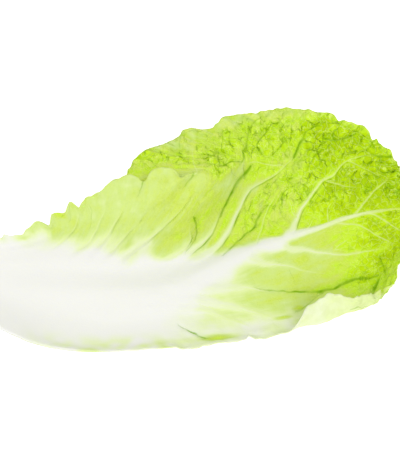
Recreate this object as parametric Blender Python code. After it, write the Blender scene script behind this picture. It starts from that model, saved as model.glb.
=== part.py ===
"""One loose napa cabbage leaf, lying on its outer side.

The leaf is a single solid: a broad, thick white stalk that narrows into the midrib, and a thin
blade that rises on both sides of it like a shallow trough. It is built as the inner surface of
the leaf, lofted through nine guide curves that run from the cut end to the tip, and given its
thickness towards the outer side. The underside is levelled where the leaf lies on its surface.

Frame: +X from the cut end to the tip, +Y across the leaf, +Z up out of the trough.
The origin is the middle of the leaf's box, on the surface it lies on.
"""
import bmesh
import bpy
import numpy as np

MM = 0.001

# Driving dimensions, in millimetres. ORIGIN is where the frame's origin lies among the guide
# curves: in the middle of the leaf's box, at the level that the leaf lies on.
BLADE_THICKNESS = 1.3
STALK_EDGE_THICKNESS = 3.2
STALK_END = 0.45
ORIGIN = (-1.5, 0.4, 1.2)

# The midrib's station along the leaf, its thickness there, and half the width of its thick part.
RIB_STATIONS = (0.00, 0.20, 0.35, 0.50, 0.62, 0.75, 0.88, 1.00)
RIB_THICKNESS = (10.5, 10.0, 9.4, 9.2, 8.0, 6.6, 4.0, 1.6)
RIB_HALF_WIDTH = (36.0, 37.0, 36.0, 30.0, 22.0, 13.0, 7.0, 4.0)

# Guide curves of the inner surface. Each point is a station, from 0 at the cut end to 1 at the
# tip, and the place (x, y, z) in millimetres that the curve passes there.
NEAR_MARGIN = (
    (0.00, -156, -30, 27), (0.10, -132, -50, 24), (0.20, -109, -62, 22), (0.30, -85, -69, 21),
    (0.45, -52, -74, 19), (0.55, -16, -79, 17), (0.62, 10, -79, 13), (0.70, 37, -78, 12),
    (0.735, 51, -75, 16), (0.76, 59, -67, 22), (0.79, 70, -66, 28), (0.82, 80, -66, 31),
    (0.85, 89, -69, 28), (0.88, 97, -69, 29), (0.905, 106, -68, 27), (0.935, 115, -64, 25),
    (0.96, 122, -62, 25), (0.98, 130, -49, 25), (1.00, 140, -33, 24),
)
NEAR_ROLL = (
    (0.00, -155, -25, 25), (0.20, -109, -54, 16), (0.45, -52, -65, 12), (0.62, 9, -71, 8),
    (0.70, 39, -72, 6), (0.76, 60, -74, 7), (0.84, 88, -71, 9), (0.91, 107, -68, 13),
    (0.95, 117, -61, 19), (1.00, 146, -24, 20),
)
NEAR_BLADE = (
    (0.00, -155, -17, 23), (0.20, -108, -38, 11), (0.45, -50, -50, 7), (0.62, 9, -52, 3),
    (0.74, 52, -53, 2.4), (0.82, 81, -54, 3), (0.90, 108, -51, 7), (1.00, 150, -16, 17),
)
NEAR_SHOULDER = (
    (0.00, -154, -10, 21.5), (0.20, -106, -25, 10.5), (0.45, -48, -37, 8.5), (0.62, 12, -34, 6),
    (0.76, 63, -24, 5), (0.88, 110, -15, 8), (1.00, 153, -9, 15.5),
)
MIDRIB = (
    (0.00, -153, -4, 21), (0.19, -101, -15, 12), (0.34, -61, -23, 10), (0.43, -39, -26, 9.5),
    (0.50, -20, -25, 9), (0.56, -2, -20, 8.5), (0.62, 20, -14, 8), (0.68, 43, -9, 7.5),
    (0.74, 64, -5, 7), (0.80, 85, -2, 7.5), (0.86, 105, 1, 9), (0.92, 126, 1, 11.5),
    (1.00, 155, -3, 15),
)
FAR_SHOULDER = (
    (0.00, -152, 6, 22.5), (0.20, -100, 2, 12), (0.36, -56, -4, 7.5), (0.45, -36, -5, 6.5),
    (0.55, -6, -3, 5.5), (0.68, 35, 9, 5), (0.80, 77, 16, 8), (0.90, 117, 13, 12),
    (1.00, 155, 3, 15.5),
)
FAR_BLADE = (
    (0.00, -150, 14, 26), (0.20, -90, 15, 22), (0.34, -46, 14, 26), (0.44, -5, 19, 30),
    (0.52, 22, 31, 32.5), (0.57, 36, 39, 29.5), (0.63, 48, 41, 26), (0.70, 62, 39, 20),
    (0.80, 88, 40, 19), (0.90, 120, 31, 20), (1.00, 154, 9, 18),
)
FAR_WING = (
    (0.00, -149, 19, 29), (0.10, -116, 19, 27), (0.20, -83, 24, 31), (0.30, -48, 28, 38),
    (0.36, -18, 29, 45), (0.38, -8, 31.5, 46), (0.40, 1, 37, 45), (0.43, 8, 38, 44.5),
    (0.46, 15, 40, 43), (0.50, 23, 44, 41), (0.55, 33, 50, 39), (0.65, 51, 57, 36),
    (0.80, 88, 59, 35), (0.90, 123, 44, 33), (1.00, 152, 15, 23),
)
FAR_MARGIN = (
    (0.00, -148, 25, 31), (0.08, -127, 25, 29), (0.13, -109, 28, 32), (0.17, -98, 28, 34),
    (0.205, -84, 36, 37), (0.24, -71, 37, 39), (0.28, -51, 46, 43), (0.31, -37, 45, 46),
    (0.325, -31, 40, 45), (0.34, -25, 44, 48), (0.355, -17, 45, 51), (0.37, -9, 41, 50),
    (0.385, -5, 38, 45), (0.40, -11, 40, 40), (0.417, -25, 43, 35), (0.435, -42, 48, 33),
    (0.458, -40, 57, 34), (0.50, -27, 69, 37), (0.55, -9, 71, 40), (0.60, 10, 78, 43),
    (0.62, 18, 75, 43), (0.68, 35, 80, 46), (0.74, 57, 78, 48), (0.80, 83, 76, 49),
    (0.85, 110, 66, 46), (0.88, 120, 59, 44), (0.905, 130, 56, 43), (0.935, 138, 42, 39),
    (0.96, 146, 37, 35), (0.98, 149, 29, 32), (1.00, 150, 21, 28),
)

# The guide curves in order across the leaf, with the place of each: -1 near margin, 1 far margin.
GUIDES = (
    (-1.00, NEAR_MARGIN), (-0.78, NEAR_ROLL), (-0.50, NEAR_BLADE), (-0.22, NEAR_SHOULDER),
    (0.00, MIDRIB), (0.22, FAR_SHOULDER), (0.50, FAR_BLADE), (0.76, FAR_WING), (1.00, FAR_MARGIN),
)

# Mesh divisions along and across the leaf.
ALONG = 66
ACROSS = 28


def clear_scene():
    for item in list(bpy.data.objects):
        bpy.data.objects.remove(item, do_unlink=True)


def segment_of(stations, at):
    """The stretch between two stations that each value in `at` falls in, and how far along it."""
    left = np.clip(np.searchsorted(stations, at, side="right") - 1, 0, len(stations) - 2)
    gap = stations[left + 1] - stations[left]
    return left, gap[:, None], ((at - stations[left]) / gap)[:, None]


def smooth_between(start, leave, end, arrive, gap, t):
    """The cubic from start to end that leaves and arrives with the slopes given."""
    return (start * (2 * t**3 - 3 * t**2 + 1) + leave * gap * (t**3 - 2 * t**2 + t)
            + end * (3 * t**2 - 2 * t**3) + arrive * gap * (t**3 - t**2))


def guide_curve(guide, along):
    """A smooth curve through a guide's points, read at stations along the leaf."""
    guide = np.array(guide, float)
    stations, points = guide[:, 0], guide[:, 1:]
    slope = np.gradient(points, stations, axis=0)
    left, gap, t = segment_of(stations, along)
    return smooth_between(points[left], slope[left], points[left + 1], slope[left + 1], gap, t)


def inner_surface(along, across):
    """Points of the leaf's inner surface, in millimetres, at stations along and across it."""
    places = np.array([place for place, _ in GUIDES])
    curves = np.array([guide_curve(guide, along) for _, guide in GUIDES])
    slope = np.gradient(curves, places, axis=0)
    left, gap, t = segment_of(places, across)
    each = np.arange(len(along))
    return smooth_between(curves[left, each], slope[left, each],
                          curves[left + 1, each], slope[left + 1, each], gap, t)


def surface_normals(along, across):
    """Unit normals of the inner surface, pointing up out of the trough."""
    step = 0.004
    ahead = inner_surface(np.minimum(along + step, 1.0), across)
    behind = inner_surface(np.maximum(along - step, 0.0), across)
    farther = inner_surface(along, np.minimum(across + step, 1.0))
    nearer = inner_surface(along, np.maximum(across - step, -1.0))
    normal = np.cross(ahead - behind, farther - nearer)
    return normal / np.linalg.norm(normal, axis=1)[:, None]


def leaf_thickness(along, points):
    """Thickness in millimetres: the midrib's swelling on a thin blade and thicker stalk edges."""
    middle = inner_surface(along, np.zeros_like(along))
    offset = np.linalg.norm(points - middle, axis=1)
    deep = np.interp(along, RIB_STATIONS, RIB_THICKNESS)
    half_width = np.interp(along, RIB_STATIONS, RIB_HALF_WIDTH)
    stalk = np.clip(1.0 - along / STALK_END, 0.0, 1.0)
    edge = BLADE_THICKNESS + (STALK_EDGE_THICKNESS - BLADE_THICKNESS) * stalk
    swelling = np.clip(1.0 - (offset / half_width) ** 2, 0.0, 1.0)
    return edge + (deep - edge) * swelling


def make_leaf():
    """The whole leaf: a grid for the inner side, extruded for the outer side and its edges."""
    bm = bmesh.new()
    bmesh.ops.create_grid(bm, x_segments=ALONG, y_segments=ACROSS, size=0.5)
    grown = bmesh.ops.extrude_face_region(bm, geom=bm.faces[:], use_keep_orig=True)
    outer = {item for item in grown["geom"] if isinstance(item, bmesh.types.BMVert)}

    along = np.array([vert.co.x + 0.5 for vert in bm.verts])
    across = np.array([2.0 * vert.co.y for vert in bm.verts])
    is_outer = np.array([vert in outer for vert in bm.verts])
    inner = inner_surface(along, across)
    outward = inner - surface_normals(along, across) * leaf_thickness(along, inner)[:, None]
    outward[:, 2] = np.maximum(outward[:, 2], ORIGIN[2])
    places = np.where(is_outer[:, None], outward, inner)
    places = (places - np.array(ORIGIN)) * MM
    for vert, place in zip(bm.verts, places):
        vert.co = place
    bmesh.ops.recalc_face_normals(bm, faces=bm.faces[:])

    mesh = bpy.data.meshes.new("napa_leaf")
    bm.to_mesh(mesh)
    bm.free()
    mesh.shade_smooth()
    mesh.set_sharp_from_angle(angle=np.radians(60.0))
    leaf = bpy.data.objects.new("napa_leaf", mesh)
    bpy.context.scene.collection.objects.link(leaf)
    return leaf


def leaf_flesh():
    """Pale green leaf: one plain colour stands for the white stalk and the green blade."""
    material = bpy.data.materials.new("leaf_flesh")
    material.use_nodes = True
    shader = material.node_tree.nodes["Principled BSDF"]
    shader.inputs["Base Color"].default_value = (0.58, 0.76, 0.20, 1.0)
    shader.inputs["Roughness"].default_value = 0.45
    shader.inputs["Metallic"].default_value = 0.0
    return material


clear_scene()
make_leaf().data.materials.append(leaf_flesh())
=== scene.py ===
"""The looks of one loose napa cabbage leaf: white stalk and midrib, veins and crinkled blade."""
import math
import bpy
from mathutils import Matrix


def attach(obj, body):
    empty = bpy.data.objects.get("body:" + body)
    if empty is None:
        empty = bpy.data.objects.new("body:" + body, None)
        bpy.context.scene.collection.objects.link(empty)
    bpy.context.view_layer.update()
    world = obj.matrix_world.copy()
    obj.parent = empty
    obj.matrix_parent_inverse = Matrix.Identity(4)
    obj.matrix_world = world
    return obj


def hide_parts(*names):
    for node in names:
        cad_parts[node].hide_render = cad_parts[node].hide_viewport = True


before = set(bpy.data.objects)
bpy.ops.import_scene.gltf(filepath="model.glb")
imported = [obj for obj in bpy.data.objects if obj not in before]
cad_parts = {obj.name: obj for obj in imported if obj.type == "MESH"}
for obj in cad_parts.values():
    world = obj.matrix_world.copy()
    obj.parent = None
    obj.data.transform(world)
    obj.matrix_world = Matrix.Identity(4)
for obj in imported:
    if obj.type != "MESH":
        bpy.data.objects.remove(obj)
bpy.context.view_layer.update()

from types import SimpleNamespace

import bmesh
import bpy
import numpy as np
from mathutils import Vector, noise

MM = 0.001

# ---------------------------------------------------------------------------------------------
# The leaf's form. Lengths are in millimetres, and places are stations along the leaf, from 0 at
# the cut end to 1 at the tip, and across it, from -1 at the near margin to 1 at the far one.
# The guide curves are the solid's own: each point is a station and the place it passes there.

ORIGIN = (-1.5, 0.4, 1.2)

NEAR_MARGIN = (
    (0.00, -156, -30, 27), (0.10, -132, -50, 24), (0.20, -109, -62, 22), (0.30, -85, -69, 21),
    (0.45, -52, -74, 19), (0.55, -16, -79, 17), (0.62, 10, -79, 13), (0.70, 37, -78, 12),
    (0.735, 51, -75, 16), (0.76, 59, -67, 22), (0.79, 70, -66, 28), (0.82, 80, -66, 31),
    (0.85, 89, -69, 28), (0.88, 97, -69, 29), (0.905, 106, -68, 27), (0.935, 115, -64, 25),
    (0.96, 122, -62, 25), (0.98, 130, -49, 25), (1.00, 140, -33, 24),
)
NEAR_ROLL = (
    (0.00, -155, -25, 25), (0.20, -109, -54, 16), (0.45, -52, -65, 12), (0.62, 9, -71, 8),
    (0.70, 39, -72, 6), (0.76, 60, -74, 7), (0.84, 88, -71, 9), (0.91, 107, -68, 13),
    (0.95, 117, -61, 19), (1.00, 146, -24, 20),
)
NEAR_BLADE = (
    (0.00, -155, -17, 23), (0.20, -108, -38, 11), (0.45, -50, -50, 7), (0.62, 9, -52, 3),
    (0.74, 52, -53, 2.4), (0.82, 81, -54, 3), (0.90, 108, -51, 7), (1.00, 150, -16, 17),
)
NEAR_SHOULDER = (
    (0.00, -154, -10, 21.5), (0.20, -106, -25, 10.5), (0.45, -48, -37, 8.5), (0.62, 12, -34, 6),
    (0.76, 63, -24, 5), (0.88, 110, -15, 8), (1.00, 153, -9, 15.5),
)
MIDRIB = (
    (0.00, -153, -4, 21), (0.19, -101, -15, 12), (0.34, -61, -23, 10), (0.43, -39, -26, 9.5),
    (0.50, -20, -25, 9), (0.56, -2, -20, 8.5), (0.62, 20, -14, 8), (0.68, 43, -9, 7.5),
    (0.74, 64, -5, 7), (0.80, 85, -2, 7.5), (0.86, 105, 1, 9), (0.92, 126, 1, 11.5),
    (1.00, 155, -3, 15),
)
FAR_SHOULDER = (
    (0.00, -152, 6, 22.5), (0.20, -100, 2, 12), (0.36, -56, -4, 7.5), (0.45, -36, -5, 6.5),
    (0.55, -6, -3, 5.5), (0.68, 35, 9, 5), (0.80, 77, 16, 8), (0.90, 117, 13, 12),
    (1.00, 155, 3, 15.5),
)
FAR_BLADE = (
    (0.00, -150, 14, 26), (0.20, -90, 15, 22), (0.34, -46, 14, 26), (0.44, -5, 19, 30),
    (0.52, 22, 31, 32.5), (0.57, 36, 39, 29.5), (0.63, 48, 41, 26), (0.70, 62, 39, 20),
    (0.80, 88, 40, 19), (0.90, 120, 31, 20), (1.00, 154, 9, 18),
)
FAR_WING = (
    (0.00, -149, 19, 29), (0.10, -116, 19, 27), (0.20, -83, 24, 31), (0.30, -48, 28, 38),
    (0.36, -18, 29, 45), (0.38, -8, 31.5, 46), (0.40, 1, 37, 45), (0.43, 8, 38, 44.5),
    (0.46, 15, 40, 43), (0.50, 23, 44, 41), (0.55, 33, 50, 39), (0.65, 51, 57, 36),
    (0.80, 88, 59, 35), (0.90, 123, 44, 33), (1.00, 152, 15, 23),
)
FAR_MARGIN = (
    (0.00, -148, 25, 31), (0.08, -127, 25, 29), (0.13, -109, 28, 32), (0.17, -98, 28, 34),
    (0.205, -84, 36, 37), (0.24, -71, 37, 39), (0.28, -51, 46, 43), (0.31, -37, 45, 46),
    (0.325, -31, 40, 45), (0.34, -25, 44, 48), (0.355, -17, 45, 51), (0.37, -9, 41, 50),
    (0.385, -5, 38, 45), (0.40, -11, 40, 40), (0.417, -25, 43, 35), (0.435, -42, 48, 33),
    (0.458, -40, 57, 34), (0.50, -27, 69, 37), (0.55, -9, 71, 40), (0.60, 10, 78, 43),
    (0.62, 18, 75, 43), (0.68, 35, 80, 46), (0.74, 57, 78, 48), (0.80, 83, 76, 49),
    (0.85, 110, 66, 46), (0.88, 120, 59, 44), (0.905, 130, 56, 43), (0.935, 138, 42, 39),
    (0.96, 146, 37, 35), (0.98, 149, 29, 32), (1.00, 150, 21, 28),
)
GUIDES = (
    (-1.00, NEAR_MARGIN), (-0.78, NEAR_ROLL), (-0.50, NEAR_BLADE), (-0.22, NEAR_SHOULDER),
    (0.00, MIDRIB), (0.22, FAR_SHOULDER), (0.50, FAR_BLADE), (0.76, FAR_WING), (1.00, FAR_MARGIN),
)

# The midrib and stalk: thickness, half the width of the thick part, and how far the white flesh
# reaches to the far and the near side, with how softly it turns green there.
RIB_STATIONS = (0.00, 0.20, 0.35, 0.50, 0.62, 0.75, 0.88, 1.00)
RIB_THICKNESS = (10.5, 10.0, 9.4, 9.2, 8.0, 6.6, 4.0, 1.6)
RIB_HALF_WIDTH = (36.0, 37.0, 36.0, 30.0, 22.0, 13.0, 7.0, 4.0)
WHITE_STATIONS = (0.00, 0.20, 0.35, 0.45, 0.52, 0.60, 0.70, 0.80, 0.90, 1.00)
WHITE_FAR = (36.0, 29.0, 27.0, 24.5, 17.0, 10.0, 4.2, 1.5, 0.7, 0.3)
WHITE_NEAR = (40.0, 50.0, 54.0, 46.0, 29.0, 9.5, 4.2, 1.6, 0.8, 0.3)
SOFT_FAR = (14.0, 15.0, 17.0, 17.0, 15.0, 11.0, 7.0, 2.4, 1.2, 0.8)
SOFT_NEAR = (14.0, 16.0, 26.0, 40.0, 40.0, 24.0, 10.0, 2.4, 1.2, 0.8)
BLADE_THICKNESS = 0.7
STALK_EDGE_THICKNESS = 2.6
STALK_END = 0.45

# Veins: the stations (along, across) each one passes, and half its width where it leaves the
# midrib and where it ends. The taper is the power of the way still to go: above 1, a line thins
# out fastest near its first end.
TAPER = 1.8
VEINS = (
    # far side, from the tip back
    (((0.885, 0.00), (0.905, 0.10), (0.93, 0.28), (0.952, 0.44), (0.97, 0.62)), 1.0, 0.5),
    (((0.742, 0.03), (0.765, 0.085), (0.790, 0.165), (0.815, 0.27), (0.838, 0.41),
      (0.86, 0.46), (0.88, 0.57), (0.91, 0.68), (0.94, 0.80), (0.965, 0.92)), 2.5, 0.25),
    (((0.841, 0.42), (0.865, 0.39), (0.885, 0.36), (0.91, 0.35)), 0.6, 0.3),
    (((0.89, 0.60), (0.912, 0.585), (0.934, 0.565), (0.955, 0.55)), 0.5, 0.3),
    (((0.50, 0.06), (0.534, 0.145), (0.60, 0.18), (0.635, 0.25), (0.639, 0.34), (0.640, 0.42),
      (0.666, 0.46), (0.705, 0.515), (0.741, 0.565), (0.766, 0.61), (0.796, 0.74),
      (0.82, 0.83)), 3.2, 0.2),
    (((0.725, 0.575), (0.66, 0.59), (0.585, 0.595)), 0.6, 0.35),
    (((0.47, 0.14), (0.522, 0.22), (0.56, 0.26), (0.58, 0.29), (0.58, 0.33), (0.575, 0.365)),
     3.6, 0.6),
    (((0.60, 0.48), (0.576, 0.59), (0.603, 0.755), (0.625, 0.81)), 0.6, 0.3),
    (((0.415, 0.76), (0.48, 0.835), (0.515, 0.87), (0.565, 0.93)), 0.6, 0.3),
    (((0.786, 0.15), (0.784, 0.265), (0.776, 0.315)), 0.6, 0.3),
    (((0.775, 0.00), (0.79, 0.045), (0.806, 0.085)), 0.7, 0.3),
    (((0.826, 0.00), (0.841, 0.11), (0.85, 0.18), (0.861, 0.225)), 0.6, 0.3),
    (((0.44, 0.14), (0.486, 0.215), (0.508, 0.25), (0.525, 0.27), (0.526, 0.30), (0.51, 0.335),
      (0.479, 0.40)), 2.8, 0.5),
    (((0.34, 0.26), (0.376, 0.35), (0.396, 0.40), (0.411, 0.455), (0.424, 0.52),
      (0.427, 0.585)), 3.0, 0.35),
    (((0.30, 0.30), (0.323, 0.38), (0.334, 0.455), (0.35, 0.545)), 3.0, 0.5),
    (((0.26, 0.33), (0.281, 0.425), (0.294, 0.525), (0.30, 0.64), (0.305, 0.76)), 2.8, 0.4),
    (((0.22, 0.36), (0.25, 0.46), (0.258, 0.56), (0.262, 0.70), (0.27, 0.82)), 2.2, 0.4),
    (((0.17, 0.45), (0.19, 0.58), (0.205, 0.75), (0.215, 0.88)), 1.0, 0.4),
    (((0.66, 0.00), (0.68, 0.07), (0.72, 0.20), (0.73, 0.33), (0.735, 0.40)), 0.9, 0.35),
    # near side, from the tip back
    (((0.915, 0.00), (0.927, -0.07), (0.943, -0.17), (0.964, -0.305), (0.98, -0.42)), 1.0, 0.5),
    (((0.84, 0.00), (0.86, -0.06), (0.886, -0.115), (0.916, -0.24), (0.946, -0.36),
      (0.97, -0.52)), 1.0, 0.5),
    (((0.715, 0.00), (0.743, -0.095), (0.774, -0.14), (0.804, -0.21), (0.834, -0.265),
      (0.861, -0.30), (0.893, -0.32), (0.924, -0.36), (0.95, -0.42)), 2.6, 0.7),
    (((0.66, -0.06), (0.693, -0.135), (0.729, -0.19), (0.755, -0.245), (0.777, -0.30),
      (0.801, -0.335), (0.83, -0.375)), 2.4, 0.5),
    (((0.838, -0.245), (0.848, -0.225), (0.87, -0.21)), 0.5, 0.3),
    (((0.50, -0.06), (0.56, -0.14), (0.611, -0.22), (0.654, -0.26), (0.696, -0.345),
      (0.731, -0.385)), 5.5, 0.8),
    (((0.46, -0.13), (0.52, -0.21), (0.57, -0.29), (0.611, -0.39), (0.65, -0.48), (0.677, -0.56),
      (0.703, -0.62), (0.72, -0.70)), 5.0, 0.9),
    (((0.47, -0.25), (0.53, -0.33), (0.578, -0.415), (0.609, -0.535), (0.64, -0.62),
      (0.66, -0.72)), 4.0, 0.8),
)

# Creases, where the blade pinches into a sharp valley: the stations passed, half its width at its
# first end and its last, and its depth.
CREASES = (
    # the far side, from the stalk to the tip
    (((0.325, 0.98), (0.32, 0.80)), 0.8, 0.4, 1.0),
    (((0.41, 0.765), (0.40, 0.675)), 1.0, 0.5, 1.0),
    (((0.495, 0.395), (0.525, 0.34), (0.542, 0.295), (0.532, 0.245)), 1.0, 0.5, 1.8),
    (((0.556, 0.825), (0.522, 0.785), (0.505, 0.74), (0.535, 0.74), (0.565, 0.65)), 0.9, 0.7, 1.4),
    (((0.516, 0.73), (0.544, 0.56), (0.583, 0.475)), 0.6, 0.4, 0.7),
    (((0.588, 0.34), (0.583, 0.405), (0.588, 0.47), (0.603, 0.50), (0.616, 0.55)), 0.8, 1.2, 2.0),
    (((0.574, 0.635), (0.605, 0.75), (0.635, 0.775), (0.671, 0.84), (0.70, 0.885),
      (0.739, 0.955)), 1.0, 0.6, 1.4),
    (((0.613, 0.085), (0.66, 0.165), (0.704, 0.215), (0.71, 0.265), (0.723, 0.335)),
     0.7, 0.9, 1.8),
    (((0.746, 0.895), (0.716, 0.815), (0.669, 0.765), (0.667, 0.69)), 0.6, 0.8, 1.2),
    (((0.763, 0.30), (0.756, 0.36), (0.758, 0.395), (0.776, 0.405)), 0.8, 0.5, 1.1),
    (((0.768, 0.61), (0.797, 0.725), (0.812, 0.80), (0.836, 0.88), (0.841, 0.95)), 1.3, 0.7, 1.6),
    (((0.838, 0.655), (0.821, 0.61), (0.802, 0.51), (0.784, 0.415)), 0.9, 0.4, 1.1),
    (((0.845, 0.76), (0.861, 0.755), (0.881, 0.815), (0.90, 0.885)), 1.1, 0.8, 1.4),
    (((0.861, 0.765), (0.86, 0.835), (0.871, 0.98)), 1.0, 0.8, 1.4),
    (((0.909, 0.655), (0.936, 0.79), (0.954, 0.85), (0.969, 0.945)), 0.7, 1.0, 1.3),
    (((0.936, 0.56), (0.948, 0.53), (0.964, 0.675), (0.994, 0.875)), 0.6, 0.8, 1.2),
    (((0.646, 0.945), (0.61, 0.875), (0.569, 0.825), (0.544, 0.765)), 0.5, 0.7, 0.8),
    (((0.496, 0.85), (0.514, 0.85), (0.522, 0.835)), 0.5, 0.4, 0.7),
    (((0.57, 0.985), (0.529, 0.925), (0.482, 0.88)), 0.6, 0.4, 0.8),
    (((0.86, 0.755), (0.853, 0.72), (0.85, 0.675), (0.838, 0.655)), 0.5, 0.6, 0.8),
    (((0.907, 0.585), (0.926, 0.56), (0.936, 0.56)), 0.4, 0.5, 0.6),
    (((0.845, 0.405), (0.865, 0.375), (0.894, 0.355)), 0.4, 0.5, 0.6),
    (((0.238, 0.995), (0.229, 0.845)), 0.6, 0.3, 0.6),
    (((0.239, 0.845), (0.24, 0.625)), 0.5, 0.3, 0.5),
    (((0.204, 0.96), (0.19, 0.815)), 0.5, 0.3, 0.5),
    # the near side
    (((0.753, -0.27), (0.76, -0.345)), 0.4, 0.3, 0.4),
    (((0.723, -0.16), (0.738, -0.195)), 0.4, 0.3, 0.4),
    (((0.525, -0.565), (0.549, -0.68), (0.568, -0.775)), 0.5, 1.0, 1.4),
    (((0.682, -0.30), (0.71, -0.36), (0.766, -0.425), (0.824, -0.45), (0.858, -0.43),
      (0.888, -0.44), (0.921, -0.515)), 0.4, 1.4, 2.4),
    (((0.888, -0.44), (0.895, -0.485)), 0.8, 0.5, 1.0),
    (((0.93, -0.415), (0.936, -0.515), (0.941, -0.59)), 0.6, 1.2, 1.4),
    (((0.925, -0.56), (0.912, -0.60), (0.905, -0.67)), 1.4, 0.8, 1.6),
    (((0.752, -0.58), (0.765, -0.555), (0.795, -0.48), (0.81, -0.465)), 0.8, 0.5, 1.0),
    (((0.852, -0.85), (0.872, -0.87), (0.895, -0.85)), 0.7, 0.5, 0.7),
    (((0.922, -0.87), (0.940, -0.91), (0.962, -0.87)), 0.8, 0.6, 0.8),
    (((0.905, -0.98), (0.915, -0.90)), 0.6, 0.4, 0.6),
)

# Teeth and notches in the margin: which side, the station, how far it reaches out in mm, or in
# if negative, and half its width in stations.
TEETH = (
    (1, 0.070, 3.0, 0.007), (1, 0.096, -1.5, 0.010), (1, 0.133, 3.0, 0.010),
    (1, 0.156, -2.0, 0.006), (1, 0.178, 3.0, 0.009), (1, 0.194, -3.0, 0.005),
    (1, 0.208, 3.0, 0.007), (1, 0.220, -3.0, 0.005), (1, 0.238, 2.5, 0.008),
    (1, 0.262, -2.0, 0.006), (1, 0.865, -2.0, 0.005), (1, 0.925, -3.0, 0.005),
    (-1, 0.645, -3.0, 0.006), (-1, 0.80, 1.5, 0.006), (-1, 0.875, -3.0, 0.004),
    (-1, 0.905, -3.5, 0.005), (-1, 0.93, -4.5, 0.005), (-1, 0.955, 2.5, 0.006),
    (-1, 0.975, -4.0, 0.005),
)

# Patches of the near side that are a deeper green: station along, station across, half length and
# half width in millimetres, and how green. The first, on the rolled edge, is the leaf's own colour;
# the others are painted shade in its creases and beside the curl of the lip.
GREEN_AND_SHADE_SPOTS = (
    (0.588, -0.81, 15.0, 5.0, 0.62), (0.722, -0.625, 9.0, 2.2, 0.56),
    (0.758, -0.548, 7.0, 3.0, 0.66), (0.815, -0.435, 24.0, 4.5, 0.74),
    (0.752, -0.68, 8.0, 5.0, 0.36),
)

# The cells that the blade puckers into, in mm, and how much the net between them is bent, in cells.
# Blender bends it by the clock unless it is given a seed.
WIDE_PUCKER, WIDE_BEND = 11.0, 0.7
NARROW_PUCKER, NARROW_BEND = 6.0, 0.5
BEND_SEED = 1

# The least thickness of flesh over the level patch that the leaf lies on.
LEAST_FLESH = 0.6

# The leaf's length and half its width if it were laid flat, and how far its outer side is set off
# there from the inner, so that the two sides have streaks of their own.
FLAT_LENGTH = 300.0
FLAT_HALF_WIDTH = 90.0
OUTER_SHIFT = 30.0

# Mesh divisions: finer where the blade is crinkled than along the smooth stalk. The share pairs
# the places along the mesh with the stations that they take.
ALONG = 366
NEAR_DIVISIONS = 58
FAR_DIVISIONS = 76
ALONG_SHARE = ((0.0, 0.19, 0.45, 1.0), (0.0, 0.30, 0.48, 1.0))


def segment_of(stations, at):
    """The stretch between two stations that each value in `at` falls in, and how far along it."""
    left = np.clip(np.searchsorted(stations, at, side="right") - 1, 0, len(stations) - 2)
    gap = stations[left + 1] - stations[left]
    return left, gap[:, None], ((at - stations[left]) / gap)[:, None]


def smooth_between(start, leave, end, arrive, gap, t):
    """The cubic from start to end that leaves and arrives with the slopes given."""
    return (start * (2 * t**3 - 3 * t**2 + 1) + leave * gap * (t**3 - 2 * t**2 + t)
            + end * (3 * t**2 - 2 * t**3) + arrive * gap * (t**3 - t**2))


def guide_curve(guide, along):
    """A smooth curve through a guide's points, read at stations along the leaf."""
    guide = np.array(guide, float)
    stations, points = guide[:, 0], guide[:, 1:]
    slope = np.gradient(points, stations, axis=0)
    left, gap, t = segment_of(stations, along)
    return smooth_between(points[left], slope[left], points[left + 1], slope[left + 1], gap, t)


def inner_surface(along, across):
    """Points of the leaf's smooth inner surface, in millimetres, before any crinkle."""
    places = np.array([place for place, _ in GUIDES])
    curves = np.array([guide_curve(guide, along) for _, guide in GUIDES])
    slope = np.gradient(curves, places, axis=0)
    left, gap, t = segment_of(places, across)
    each = np.arange(len(along))
    return smooth_between(curves[left, each], slope[left, each],
                          curves[left + 1, each], slope[left + 1, each], gap, t)


def unit(vectors):
    """Vectors scaled to a length of 1."""
    return vectors / np.linalg.norm(vectors, axis=1)[:, None]


def surface_frame(along, across):
    """Unit vectors of the smooth surface: its normal, and outwards across it to the margin."""
    step = 0.004
    ahead = inner_surface(np.minimum(along + step, 1.0), across)
    behind = inner_surface(np.maximum(along - step, 0.0), across)
    farther = inner_surface(along, np.minimum(across + step, 1.0))
    nearer = inner_surface(along, np.maximum(across - step, -1.0))
    normal = unit(np.cross(ahead - behind, farther - nearer))
    outwards = unit(farther - nearer) * np.sign(across)[:, None]
    return normal, outwards


def ease(low, high, value):
    """0 below low, 1 above high, and a smooth rise between them."""
    t = np.clip((value - low) / (high - low), 0.0, 1.0)
    return t * t * (3.0 - 2.0 * t)


def peak(distance, size):
    """1 where a distance is 0, with a soft fall to nothing over about twice a size."""
    return np.exp(-(distance / size) ** 2)


def line_on_leaf(stations, pieces=8):
    """A line drawn on the leaf's smooth surface through stations (along, across)."""
    stations = np.array(stations, float)
    count = (len(stations) - 1) * pieces + 1
    walk = np.linspace(0.0, len(stations) - 1.0, count)
    order = np.arange(len(stations), dtype=float)
    slope = np.gradient(stations, order, axis=0)
    left, gap, t = segment_of(order, walk)
    passed = smooth_between(stations[left], slope[left], stations[left + 1], slope[left + 1],
                            gap, t)
    return inner_surface(passed[:, 0], passed[:, 1])


def measure_to_line(points, normal, line):
    """Each point's distance to a line, the side it lies on, and its place along it, 0 to 1.

    The side is 1 to the right of someone who walks the line with their head along the normal.
    """
    nearest = np.full(len(points), 1e9)
    side = np.ones(len(points))
    place = np.zeros(len(points))
    for number, (start, end) in enumerate(zip(line[:-1], line[1:])):
        run = end - start
        t = np.clip((points - start) @ run / (run @ run), 0.0, 1.0)
        offset = points - start - t[:, None] * run
        distance = np.linalg.norm(offset, axis=1)
        right = np.sign(np.einsum("ij,ij->i", np.cross(run, normal), offset))
        closer = distance < nearest
        nearest[closer] = distance[closer]
        side[closer] = right[closer]
        place[closer] = ((number + t) / (len(line) - 1))[closer]
    return nearest, side, place


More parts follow.
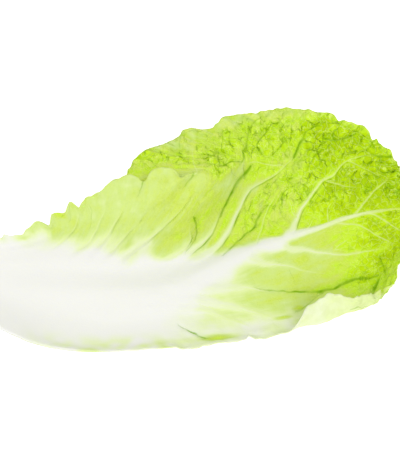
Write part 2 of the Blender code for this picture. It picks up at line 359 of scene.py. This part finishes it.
def nearest_line(points, normal, lines, unevenness):
    """The nearest of some tapering lines, as each point sees it.

    It gives the distance in half widths and in mm, the side (1 for right, -1 for left), the
    line's half width, and a fade that falls from 1 to 0 at its far end. Unevenness, in mm, makes
    the lines waver.
    """
    line = SimpleNamespace(
        widths=np.full(len(points), 30.0), reach=np.full(len(points), 1e9),
        right=np.ones(len(points)), half_width=np.ones(len(points)), fade=np.ones(len(points)))
    for stations, root, end in lines:
        distance, right, place = measure_to_line(points, normal, line_on_leaf(stations))
        signed = distance * right + unevenness
        distance = np.abs(signed)
        half_width = end + (root - end) * (1.0 - place) ** TAPER
        closer = distance / half_width < line.widths
        line.widths[closer] = (distance / half_width)[closer]
        line.right[closer] = np.sign(signed)[closer]
        line.half_width[closer] = half_width[closer]
        line.fade[closer] = (1.0 - ease(0.75, 1.0, place))[closer]
        line.reach = np.minimum(line.reach, distance)
    return line


def valley_distance(points, size, bend):
    """Distance in mm to the nearest valley of a net of them, with cells of a size in mm."""
    noise.seed_set(BEND_SEED)
    distances = np.empty(len(points))
    for number, point in enumerate(points):
        place = Vector(point) / size
        place += noise.noise_vector(place * 0.8) * bend
        near = noise.voronoi(place)[0]
        distances[number] = (near[1] - near[0]) * 0.5 * size
    return distances


def waves(points, size, seed):
    """Soft noise between -1 and 1 with features of about a size in millimetres."""
    shift = Vector((seed * 17.3, seed * 5.1, seed * 9.7))
    heights = np.array([noise.noise(Vector(point) / size + shift) for point in points])
    return np.clip(2.2 * heights, -1.0, 1.0)


def survey_leaf(along, across):
    """The smooth leaf at stations along and across it: its form, its parts, veins and creases.

    The parts are strengths from 0 to 1. Blade is the green beyond the white flesh. Flap is the
    far wing from the stalk to its fold, and hem the far margin beyond the fold. Lip is the near
    margin where it rolls over. Ruffle grows to both margins.
    """
    form = SimpleNamespace(along=along, across=across, far=across > 0.0, side=np.abs(across))
    form.smooth = inner_surface(along, across)
    form.normal, form.outwards = surface_frame(along, across)
    middle = inner_surface(along, np.zeros_like(along))
    form.offset = np.linalg.norm(form.smooth - middle, axis=1)

    far, side = form.far, form.side
    form.white = np.where(far, np.interp(along, WHITE_STATIONS, WHITE_FAR),
                          np.interp(along, WHITE_STATIONS, WHITE_NEAR))
    softness = np.where(far, np.interp(along, WHITE_STATIONS, SOFT_FAR),
                        np.interp(along, WHITE_STATIONS, SOFT_NEAR))
    bite = 0.25 * softness + 0.3 * np.minimum(softness, 14.0) * waves(form.smooth, 14.0, 1)
    form.blade = ease(0.0, 1.0, (form.offset - form.white + bite) / softness)
    form.flap = far * form.blade * (1.0 - ease(0.33, 0.38, along))
    form.hem = far * ease(0.80, 0.95, side) * ease(0.44, 0.50, along)
    form.lip = ~far * ease(0.76, 0.95, side) * ease(0.74, 0.80, along)
    form.ruffle = np.where((along < 0.36) & far, ease(0.80, 1.0, side),
                           ease(0.45, 1.0, side) * form.blade)

    # Ripples 3.5 mm apart run out to the far margin. Crevices come and go along the veins.
    fanned = np.stack([along * 85.0, across * 4.0, np.zeros_like(along)], axis=1)
    form.ripple = waves(fanned, 1.0, 10)
    form.broken = np.clip(0.55 + 0.5 * waves(form.smooth, 9.0, 12), 0.1, 1.0)
    form.veins = nearest_line(form.smooth, form.normal, VEINS, 0.25 * waves(form.smooth, 6.0, 14))
    form.creases = nearest_line(form.smooth, form.normal, [crease[:3] for crease in CREASES],
                                0.4 * waves(form.smooth, 5.0, 15))
    form.cord = peak(form.veins.widths, 1.0) * ease(0.0, 0.6, form.blade + 0.2) * form.veins.fade
    return form


def add_puckers(form):
    """Works out the puckers between the smallest veins; returns their relief in millimetres.

    They are strongest behind the fold and at the leaf's end, and sink beside the drawn veins.
    """
    behind_fold = ease(0.42, 0.50, form.along) * ease(0.58, 0.74, form.side)
    at_end = ease(0.58, 0.76, form.along) * ease(0.08, 0.36, form.side)
    form.pucker = np.where(form.far, 0.22 + 0.78 * np.maximum(behind_fold, at_end),
                           0.12 + 0.45 * ease(0.80, 0.95, form.along))
    form.pucker *= form.blade * (1.0 - 0.85 * peak(form.veins.reach, 2.4))

    # Wide cells hold in some patches and narrow ones in others.
    patchy = 0.75 + 0.45 * waves(form.smooth, 13.0, 9)
    wide = valley_distance(form.smooth, WIDE_PUCKER, WIDE_BEND)
    narrow = valley_distance(form.smooth, NARROW_PUCKER, NARROW_BEND)
    form.valley = np.clip(peak(wide, 1.0) * np.clip(patchy, 0.2, 1.3)
                          + 0.8 * peak(narrow, 0.9) * np.clip(1.5 - patchy, 0.1, 1.2), 0.0, 1.2)
    dome = 1.0 - peak(wide, 3.5)
    return form.pucker * (1.1 * dome - 1.4 * form.valley)


def ruffle_relief(form):
    """Broad ruffles that grow to the margins, with finer ripples that run out to the far one."""
    return (form.ruffle * (1.1 * waves(form.smooth, 17.0, 2) + 0.6 * waves(form.smooth, 8.0, 3))
            + 0.35 * form.blade * waves(form.smooth, 26.0, 4)
            + (0.22 * form.flap + 0.45 * form.hem) * form.ripple
            + 0.9 * form.lip * waves(form.smooth, 6.0, 17))


def vein_relief(form):
    """Veins stand up as rounded cords, with a broken crevice along one side, as does the rib."""
    veins = form.veins
    crevice = peak(veins.reach * veins.right - veins.half_width - 0.8, 0.7)
    rib = peak(form.offset, np.maximum(form.white, 1.2)) * ease(0.5, 0.75, form.along)
    return (0.35 * veins.half_width * form.cord
            - 0.9 * crevice * form.blade * form.broken * form.far
            + 1.2 * rib * (1.0 - 0.6 * ease(0.8, 1.0, form.along)))


def crease_relief(form):
    """Sharp valleys, each deepest in its middle."""
    relief = np.zeros_like(form.along)
    for stations, root, end, depth in CREASES:
        distance, _, place = measure_to_line(form.smooth, form.normal, line_on_leaf(stations))
        half_width = root + (end - root) * place + 0.5
        relief -= depth * peak(distance, half_width) * np.sin(np.pi * (0.12 + 0.76 * place))
    return relief


def margin_growth(form):
    """How far the margin grows out, in millimetres: lobes, and the table's teeth and notches."""
    lobes = 0.7 * waves(form.smooth, 9.0, 5) + 0.7 * waves(form.smooth, 4.5, 6) - 0.3
    in_fold = form.far * ease(0.34, 0.38, form.along) * (1.0 - ease(0.44, 0.48, form.along))
    growth = (ease(0.84, 1.0, form.side) * np.maximum(form.ruffle, 0.25) * lobes
              * (1.0 - in_fold) * (1.0 + 0.8 * form.lip))
    for which, station, height, half_width in TEETH:
        tooth = peak(form.along - station, half_width) * ease(0.70, 1.0, form.side)
        growth += height * tooth * (form.across * which > 0.0)
    return growth


def leaf_thickness(form):
    """Thickness in millimetres: the midrib and veins swell it, and the stalk's edges are thick."""
    deep = np.interp(form.along, RIB_STATIONS, RIB_THICKNESS)
    half_width = np.interp(form.along, RIB_STATIONS, RIB_HALF_WIDTH)
    stalk = np.clip(1.0 - form.along / STALK_END, 0.0, 1.0)
    rim = BLADE_THICKNESS + (STALK_EDGE_THICKNESS - BLADE_THICKNESS) * stalk
    swelling = np.clip(1.0 - (form.offset / half_width) ** 2, 0.0, 1.0)
    return (rim + (deep - rim) * swelling
            + 1.1 * form.veins.half_width * form.cord * (1.0 - swelling))


def grow_skins(form):
    """The inner and the outer skin, in millimetres. Neither goes below the level underside."""
    relief = add_puckers(form) + ruffle_relief(form) + vein_relief(form) + crease_relief(form)
    inner = (form.smooth + form.normal * relief[:, None]
             + form.outwards * margin_growth(form)[:, None])
    inner[:, 2] = np.maximum(inner[:, 2], ORIGIN[2] + LEAST_FLESH)
    outer = inner - form.normal * leaf_thickness(form)[:, None]
    outer[:, 2] = np.maximum(outer[:, 2], ORIGIN[2])
    return inner, outer


def leaf_greenness(form):
    """How green the flesh is: 0 white, 1 the deep yellow-green of the outer blade; in a few places
    it also holds painted light and painted shade.
    """
    along, side, veins = form.along, form.side, form.veins

    # The far side: the flap is pale, the blade behind it and the end are deep, and the hem is
    # painted paler: painted light, as if light shone through the thin margin.
    flap = 0.42 + 0.08 * ease(0.30, 0.40, along)
    behind = 0.68 + 0.04 * ease(0.60, 0.75, along)
    upper = flap + (behind - flap) * ease(0.42, 0.50, along) * ease(0.55, 0.72, side)
    upper = np.maximum(upper, 0.64 * ease(0.50, 0.62, along))
    upper = np.maximum(upper, 0.98 * ease(0.64, 0.88, along))
    upper += (0.07 * peak(along - 0.485, 0.05) * ease(0.25, 0.35, side)
              * (1.0 - ease(0.60, 0.72, side)))
    # Painted light: the hem is paler, as if lit through.
    upper *= 1.0 - 0.32 * ease(0.86, 1.0, side) * ease(0.48, 0.56, along)

    # The near side deepens to the tip, and is paler to its edge and beside the stalk. By the lip it
    # is painted paler: painted light where the lip's curl shades it.
    lower = 0.36 + 0.16 * ease(0.62, 0.76, along) + 0.42 * ease(0.80, 0.94, along)
    lower *= 1.0 - 0.64 * ease(0.44, 0.72, side) * (1.0 - 0.6 * ease(0.90, 0.94, along))
    # Painted light: paler flesh where the lip's curl casts its shade.
    lower *= 1.0 - 0.12 * peak(along - 0.745, 0.03) * ease(0.32, 0.52, side)
    beyond_white = np.maximum(form.offset - form.white, 0.0)
    lower *= 1.0 - 0.5 * (1.0 - ease(0.0, 42.0, beyond_white)) * (1.0 - ease(0.55, 0.70, along))

    tone = np.where(form.far, upper, lower)
    lively = np.where(form.far, 0.4 + 0.6 * ease(0.42, 0.50, along), 0.6)
    tone += lively * (0.06 * waves(form.smooth, 22.0, 7) + 0.06 * waves(form.smooth, 7.0, 8))

    # White flesh runs out into the wide veins, and faintly beside them.
    tone *= 1.0 - np.maximum(
        peak(veins.widths, 1.15) * ease(0.8, 2.2, veins.half_width),
        0.25 * peak(veins.reach, 4.0) * ease(0.4, 1.2, veins.half_width))

    # The stalk's thin edges are tinged with green in patches.
    tinge = np.clip(0.30 + 0.3 * waves(form.smooth, 9.0, 13), 0.0, 1.0)
    tinge *= np.where(form.far, 1.1 * ease(0.72, 0.95, side) * ease(0.04, 0.12, along)
                      * (1.0 - ease(0.20, 0.36, along)),
                      0.5 * ease(0.55, 0.90, side) * ease(0.06, 0.30, along)
                      * (1.0 - ease(0.60, 0.68, along)))
    # Deeper green patches: one is the leaf's own colour, the rest are painted shade at creases and
    # beside the lip.
    spot_green_and_shade = np.zeros_like(along)
    for spot_along, spot_across, long, wide, strength in GREEN_AND_SHADE_SPOTS:
        spot = inner_surface(np.array([spot_along]), np.array([spot_across]))
        away = np.linalg.norm((form.smooth - spot) / (long, wide, wide), axis=1)
        spot_green_and_shade = np.maximum(spot_green_and_shade, strength * peak(away, 1.0))
    rib = 0.24 * ease(0.68, 0.88, along) + 0.4 * ease(0.88, 1.0, along)
    return np.clip(np.maximum.reduce([form.blade * tone, tinge, spot_green_and_shade, rib]), 0.0, 1.0)


def finish_attributes(form):
    """What the finish reads at each point, by name."""
    veins, creases = form.veins, form.creases
    near_vein = 1.0 - ease(1.0, 2.2, veins.reach - veins.half_width)
    near_crease = 1.0 - ease(1.0, 2.2, creases.reach - creases.half_width)
    across_vein = veins.widths * veins.right
    # The crevice mark is painted shade: the puckers' valleys and the troughs of the flap's and
    # hem's ripples.
    crevice = form.pucker * form.valley
    crevice += (0.4 * form.flap + 0.3 * form.hem) * ease(0.5, 1.0, -form.ripple)
    return {
        "green": leaf_greenness(form),
        # Distance across a vein in half widths, and from its right edge in mm.
        "vein_side": np.clip(across_vein, -6.0, 6.0),
        "beside_vein": np.clip((across_vein - 1.0) * veins.half_width, -9.0, 9.0),
        # How strongly the vein shows, and the painted shade of the crevice beside it.
        "vein": (near_vein * np.clip(0.35 + 0.35 * veins.half_width, 0.0, 1.0) * veins.fade
                 * ease(0.0, 0.5, form.blade) * (1.0 - 0.6 * ease(1.4, 2.8, veins.half_width))),
        "shade": (form.far * near_vein * form.blade * form.broken * veins.fade
                  * ease(0.3, 0.9, veins.half_width)
                  * (0.2 + 0.8 * ease(0.42, 0.48, form.along))
                  * (1.0 - 0.7 * ease(1.6, 2.6, veins.half_width))),
        # Distance across a crease in half widths, how strongly its painted shade shows, and the
        # softer painted shade about it.
        "crease_side": np.clip(creases.widths * creases.right, -6.0, 6.0),
        "crease": (near_crease * ease(0.0, 1.2, creases.half_width)
                   * (0.8 + 0.4 * waves(form.smooth, 5.0, 16))),
        "shade_about_crease": peak(creases.reach, 3.0) * ease(0.6, 1.4, creases.half_width),
        "crevice": np.clip(crevice, 0.0, 1.0),
        "pucker": form.pucker,
    }


def laid_flat(along, across, is_outer):
    """Places on the leaf laid flat, in metres, with x across the grain and y along it.

    The grain follows the veins: outwards on the far side, and lengthwise on the near one.
    """
    lengthwise, crosswise = FLAT_LENGTH * along, FLAT_HALF_WIDTH * across
    near = across < 0.0
    return np.stack([np.where(near, crosswise, lengthwise), np.where(near, lengthwise, crosswise),
                     OUTER_SHIFT * is_outer], axis=1) * MM


def make_leaf():
    """The whole leaf: a grid for the inner skin, extruded for the outer skin and the rim."""
    bm = bmesh.new()
    divisions = NEAR_DIVISIONS + FAR_DIVISIONS
    bmesh.ops.create_grid(bm, x_segments=ALONG, y_segments=divisions, size=0.5)
    grown = bmesh.ops.extrude_face_region(bm, geom=bm.faces[:], use_keep_orig=True)
    outer_side = {item for item in grown["geom"] if isinstance(item, bmesh.types.BMVert)}

    # Both skins share their stations, so each station is worked out once.
    is_outer = np.array([vert in outer_side for vert in bm.verts])
    along = np.interp([vert.co.x + 0.5 for vert in bm.verts], *ALONG_SHARE)
    across = np.interp([vert.co.y + 0.5 for vert in bm.verts],
                       (0.0, NEAR_DIVISIONS / divisions, 1.0), (-1.0, 0.0, 1.0))
    stations, station_of = np.unique(np.stack([along, across], axis=1), axis=0,
                                     return_inverse=True)
    form = survey_leaf(stations[:, 0], stations[:, 1])
    inner, outer = grow_skins(form)
    places = np.where(is_outer[:, None], outer[station_of], inner[station_of])
    places = (places - np.array(ORIGIN)) * MM
    for vert, place in zip(bm.verts, places):
        vert.co = place
    bmesh.ops.recalc_face_normals(bm, faces=bm.faces[:])

    mesh = bpy.data.meshes.new("napa_leaf_fresh")
    bm.to_mesh(mesh)
    bm.free()
    layer = mesh.attributes.new("laid_flat", "FLOAT_VECTOR", "POINT")
    layer.data.foreach_set("vector",
                           laid_flat(along, across, is_outer).astype(np.float32).ravel())
    finish = {name: values[station_of] for name, values in finish_attributes(form).items()}
    finish["outer"] = is_outer
    for name, values in finish.items():
        layer = mesh.attributes.new(name, "FLOAT", "POINT")
        layer.data.foreach_set("value", values.astype(np.float32))
    mesh.shade_smooth()
    leaf = bpy.data.objects.new("napa_leaf_fresh", mesh)
    bpy.context.scene.collection.objects.link(leaf)
    return leaf


# ---------------------------------------------------------------------------------------------
# Finishes.

def colour(code):
    """An sRGB hex colour as linear red, green, blue and alpha."""
    parts = [int(code[place:place + 2], 16) / 255.0 for place in (0, 2, 4)]
    linear = [part / 12.92 if part <= 0.04045 else ((part + 0.055) / 1.055) ** 2.4
              for part in parts]
    return (*linear, 1.0)


def add_node(material, kind, settings=(), links=()):
    """Adds a node: settings are (name or input, value), links are (input, output to read)."""
    node = material.node_tree.nodes.new(kind)
    for name, value in settings:
        if isinstance(name, str) and hasattr(node, name):
            setattr(node, name, value)
        else:
            node.inputs[name].default_value = value
    for name, output in links:
        material.node_tree.links.new(output, node.inputs[name])
    return node


def set_ramp(node, stops):
    """Gives a colour ramp its stops: (place, hex colour)."""
    elements = node.color_ramp.elements
    while len(elements) > 1:
        elements.remove(elements[-1])
    elements[0].position, elements[0].color = stops[0][0], colour(stops[0][1])
    for place, code in stops[1:]:
        elements.new(place).color = colour(code)


def paint_over(material, under, amount, code):
    """Lays a plain colour over another in the amount an output gives; returns the new output."""
    mixed = add_node(material, "ShaderNodeMix", [("data_type", "RGBA")],
                     [(0, amount), (6, under)])
    mixed.inputs[7].default_value = colour(code)
    return mixed.outputs[2]


def spread(material, output, low, high, at_low, at_high):
    """Turns an output's stretch from low to high into one from at_low to at_high."""
    node = add_node(material, "ShaderNodeMapRange",
                    [("From Min", low), ("From Max", high), ("To Min", at_low),
                     ("To Max", at_high)], [("Value", output)])
    return node.outputs["Result"]


def times(material, output, factor):
    """An output times a number or another output."""
    if isinstance(factor, float):
        node = add_node(material, "ShaderNodeMath", [("operation", "MULTIPLY"), (1, factor)],
                        [(0, output)])
    else:
        node = add_node(material, "ShaderNodeMath", [("operation", "MULTIPLY")],
                        [(0, output), (1, factor)])
    return node.outputs["Value"]


def size_of(material, output):
    """An output without its sign."""
    node = add_node(material, "ShaderNodeMath", [("operation", "ABSOLUTE")], [(0, output)])
    return node.outputs["Value"]


def noise_every(material, size, detail, place):
    """Noise between 0 and 1 with features of about a size in millimetres."""
    return add_node(material, "ShaderNodeTexNoise",
                    [("Scale", 1.0 / (size * MM)), ("Detail", detail)], [("Vector", place)])


def net_of(material, size, place):
    """Distance to the edge of a net's cells, in cells, for cells of a size in millimetres."""
    return add_node(material, "ShaderNodeTexVoronoi",
                    [("feature", "DISTANCE_TO_EDGE"), ("Scale", 1.0 / (size * MM))],
                    [("Vector", place)]).outputs["Distance"]


def bent_by(material, bend, size, place):
    """A place pushed about by a noise, as far as a size in millimetres."""
    return add_node(material, "ShaderNodeVectorMath",
                    [("operation", "MULTIPLY_ADD"), (1, (size * MM,) * 3)],
                    [(0, bend), (2, place)]).outputs["Vector"]


def leaf_tone(material, grown, place):
    """How green the flesh is, mottled every 5 mm or so, as chlorophyll gathers unevenly.

    The mottling is strongest on puckers. Streaks 3 mm wide and 16 mm long follow the grain.
    """
    mottle = noise_every(material, 5.0, 3.0, place).outputs["Fac"]
    flat_place = add_node(material, "ShaderNodeAttribute", [("attribute_name", "laid_flat")])
    grain = add_node(material, "ShaderNodeMapping",
                     [("Scale", (1.0 / (3.0 * MM), 1.0 / (16.0 * MM), 1.0))],
                     [("Vector", flat_place.outputs["Vector"])])
    streaks = add_node(material, "ShaderNodeTexNoise", [("Scale", 1.0), ("Detail", 3.0)],
                       [("Vector", grain.outputs["Vector"])]).outputs["Fac"]
    swing = times(material, spread(material, mottle, 0.2, 0.8, -0.22, 0.22),
                  spread(material, grown["pucker"], 0.1, 0.8, 0.3, 1.0))
    mottled = add_node(material, "ShaderNodeMath", [("operation", "MULTIPLY_ADD")],
                       [(0, grown["green"]), (1, swing), (2, grown["green"])]).outputs["Value"]
    return times(material, mottled, spread(material, streaks, 0.25, 0.75, 0.85, 1.15))


def paint_veins(material, look, grown):
    """The drawn veins: pale cords, the wider the whiter.

    One side melts into the blade, and the other ends cleanly at a crevice about 1 mm wide, whose
    shade is painted in as a deeper green.
    """
    beside = grown["beside_vein"]
    # Painted shade: a deep green line in the crevice along the vein's right side.
    crack_shade = times(material, spread(material, beside, -0.1, 0.3, 0.0, 0.9),
                  spread(material, beside, 0.5, 1.5, 1.0, 0.0))
    look = paint_over(material, look, times(material, crack_shade, grown["shade"]), "74a000")
    cord = times(material, spread(material, grown["vein_side"], -1.7, 0.0, 0.0, 1.0),
                 spread(material, grown["vein_side"], 0.3, 1.15, 1.0, 0.0))
    cord = times(material, cord, grown["vein"])
    look = paint_over(material, look, cord, "ccdb8e")
    return paint_over(material, look, spread(material, cord, 0.6, 1.0, 0.0, 0.8), "d6dbbc")


def cabbage_flesh():
    """Fresh napa cabbage: watery white stalk, thin yellow-green blade, a faint waxy gloss.

    Light scatters in the flesh, which softens its shading and lets the blade glow.
    """
    material = bpy.data.materials.new("cabbage_flesh")
    material.use_nodes = True
    shader = material.node_tree.nodes["Principled BSDF"]
    grown = {name: add_node(material, "ShaderNodeAttribute",
                            [("attribute_name", name)]).outputs["Fac"]
             for name in ("green", "vein_side", "vein", "beside_vein", "shade", "crease_side",
                          "crease", "shade_about_crease", "crevice", "pucker", "outer")}
    place = add_node(material, "ShaderNodeTexCoord").outputs["Object"]

    # Flesh from the white of the stalk to the deep green of the blade's end.
    tone = leaf_tone(material, grown, place)
    flesh = add_node(material, "ShaderNodeValToRGB", links=[(0, tone)])
    set_ramp(flesh, [(0.0, "dadad5"), (0.10, "d6dbc2"), (0.25, "cfdb9e"), (0.40, "bfd27a"),
                     (0.55, "bdd054"), (0.70, "badb30"), (0.85, "b3d30a"), (1.0, "a2c000")])
    look = flesh.outputs["Color"]

    # Two nets of small veins, bent so that no line is straight. The second is drawn out towards
    # the margin. They fade out in white flesh and on the outer side.
    bend = noise_every(material, 7.0, 2.0, place).outputs["Color"]
    drawn_out = add_node(material, "ShaderNodeMapping", [("Scale", (1.0, 0.55, 0.8))],
                         [("Vector", place)]).outputs["Vector"]
    fine = net_of(material, 4.5, bent_by(material, bend, 9.0, place))
    coarse = net_of(material, 7.0, bent_by(material, bend, 7.0, drawn_out))
    inside = spread(material, grown["outer"], 0.0, 1.0, 1.0, 0.0)
    leafy = times(material, spread(material, tone, 0.30, 0.75, 0.0, 1.0), inside)
    netted = times(material, leafy, spread(material, grown["pucker"], 0.2, 0.9, 0.55, 1.0))

    # The finest net, 4.5 mm across, shows as pale lines 0.4 mm to each side.
    pale = times(material, spread(material, fine, 0.0, 0.08, 0.45, 0.0), netted)
    look = paint_over(material, look, pale, "d8e88c")

    # The next net, 7 mm across, sinks into cracks 0.6 mm to each side, which come and go. The
    # cracks and the crevices are darkened with painted shade, a deeper green.
    come_and_go = noise_every(material, 6.0, 2.0, place).outputs["Fac"]
    present = spread(material, come_and_go, 0.45, 0.62, 0.0, 1.0)
    crack_shade = times(material, spread(material, coarse, 0.01, 0.09, 1.0, 0.0), present)
    cracked = times(material, crack_shade, times(material, grown["pucker"], leafy))
    look = paint_over(material, look, times(material, cracked, 0.80), "86b200")
    # Painted shade, a deeper green, in the crevices of the puckers and ripples.
    look = paint_over(material, look, spread(material, grown["crevice"], 0.5, 1.0, 0.0, 0.3),
                      "92be00")
    look = paint_veins(material, look, grown)

    # The outer side is paler and duller, in blotches, because it never faced the light.
    blotched = spread(material, come_and_go, 0.42, 0.62, 0.75, 0.30)
    grey_green = times(material, times(material, grown["outer"], blotched),
                       spread(material, grown["green"], 0.0, 0.3, 0.3, 1.0))
    look = paint_over(material, look, grey_green, "c4cf92")

    # The sharp creases get painted shade: deep green lines in a softer stretch of painted shade
    # about them.
    look = paint_over(material, look, times(material, grown["shade_about_crease"], 0.35), "90bc00")
    crease_shade = spread(material, size_of(material, grown["crease_side"]), 0.3, 1.2, 0.95, 0.0)
    look = paint_over(material, look, times(material, crease_shade, grown["crease"]), "78a400")
    material.node_tree.links.new(look, shader.inputs["Base Color"])

    # Relief too fine to model: both nets' valleys, and cells that grain the skin every 1.2 mm.
    cells = noise_every(material, 1.2, 2.0, place).outputs["Fac"]
    fine_valley = times(material, spread(material, fine, 0.0, 0.22, 0.0, 0.5), netted)
    height = add_node(material, "ShaderNodeMath", [("operation", "SUBTRACT")],
                      [(0, fine_valley), (1, times(material, cracked, 0.9))])
    height = add_node(material, "ShaderNodeMath", [("operation", "MULTIPLY_ADD"), (1, 0.10)],
                      [(0, cells), (2, height.outputs["Value"])])
    bump = add_node(material, "ShaderNodeBump", [("Strength", 1.0), ("Distance", 0.9 * MM)],
                    [("Height", height.outputs["Value"])])
    material.node_tree.links.new(bump.outputs["Normal"], shader.inputs["Normal"])
    shader.inputs["Roughness"].default_value = 0.5
    shader.inputs["IOR"].default_value = 1.4
    shader.inputs["Specular IOR Level"].default_value = 0.1
    shader.inputs["Subsurface Weight"].default_value = 0.12
    shader.inputs["Subsurface Radius"].default_value = (1.0, 1.0, 0.5)
    shader.inputs["Subsurface Scale"].default_value = 0.8 * MM
    return material


def white_sweep():
    """The studio's floor: matt white acrylic, faintly lit from below so that shadows stay pale."""
    material = bpy.data.materials.new("white_sweep")
    material.use_nodes = True
    shader = material.node_tree.nodes["Principled BSDF"]
    shader.inputs["Base Color"].default_value = colour("fafafa")
    shader.inputs["Roughness"].default_value = 0.9
    shader.inputs["Specular IOR Level"].default_value = 0.1
    shader.inputs["Emission Color"].default_value = colour("ffffff")
    shader.inputs["Emission Strength"].default_value = 0.4
    return material


# ---------------------------------------------------------------------------------------------
# Studio.

def make_floor():
    """A white floor, wide enough to fill the view. It belongs to the studio, not to the leaf."""
    half_width = 2.5
    bm = bmesh.new()
    bmesh.ops.create_grid(bm, x_segments=1, y_segments=1, size=half_width)
    mesh = bpy.data.meshes.new("floor")
    bm.to_mesh(mesh)
    bm.free()
    floor = bpy.data.objects.new("floor", mesh)
    floor.data.materials.append(white_sweep())
    bpy.context.scene.collection.objects.link(floor)


def add_softbox(name, azimuth, elevation, distance, size, power, aim):
    """A square soft light that looks at the leaf, placed by its angles round it in degrees."""
    turn, lift = math.radians(azimuth), math.radians(elevation)
    light = bpy.data.lights.new(name, "AREA")
    light.size = size
    light.energy = power
    lamp = bpy.data.objects.new(name, light)
    lamp.location = aim + distance * Vector((math.sin(turn) * math.cos(lift),
                                             -math.cos(turn) * math.cos(lift), math.sin(lift)))
    lamp.rotation_euler = (math.pi / 2 - lift, 0.0, turn)
    bpy.context.scene.collection.objects.link(lamp)


def set_studio():
    """Even white light from all round, a soft window to the left, and a softer light in front."""
    scene = bpy.context.scene
    world = bpy.data.worlds.new("studio")
    world.use_nodes = True
    background = world.node_tree.nodes["Background"]
    background.inputs["Color"].default_value = (1.0, 1.0, 1.0, 1.0)
    background.inputs["Strength"].default_value = 0.88
    scene.world = world
    scene.view_settings.view_transform = "Standard"
    middle = Vector((0.0, 0.0, 0.02))
    add_softbox("window_box", azimuth=-100.0, elevation=48.0, distance=1.2, size=0.6, power=3.8,
                aim=middle)
    add_softbox("front_box", azimuth=20.0, elevation=48.0, distance=1.3, size=0.8, power=6.2,
                aim=middle)


def set_camera():
    """Looks down at the leaf from its near side, a little to the left of square on."""
    azimuth, elevation = math.radians(-12.0), math.radians(60.0)
    aim = Vector((4.0, 7.9, 18.8)) * MM
    data = bpy.data.cameras.new("camera")
    data.lens = 100.0
    data.sensor_width = 36.0
    height_seen = 0.32
    distance = height_seen * data.lens / data.sensor_width
    camera = bpy.data.objects.new("camera", data)
    back = Vector((math.sin(azimuth) * math.cos(elevation),
                   -math.cos(azimuth) * math.cos(elevation), math.sin(elevation)))
    camera.location = aim + distance * back
    camera.rotation_euler = (math.pi / 2 - elevation, 0.0, azimuth)
    bpy.context.scene.collection.objects.link(camera)
    bpy.context.scene.camera = camera


set_camera()
leaf = make_leaf()
leaf.data.materials.append(cabbage_flesh())
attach(leaf, "root")
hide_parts("napa_leaf")
make_floor()
set_studio()
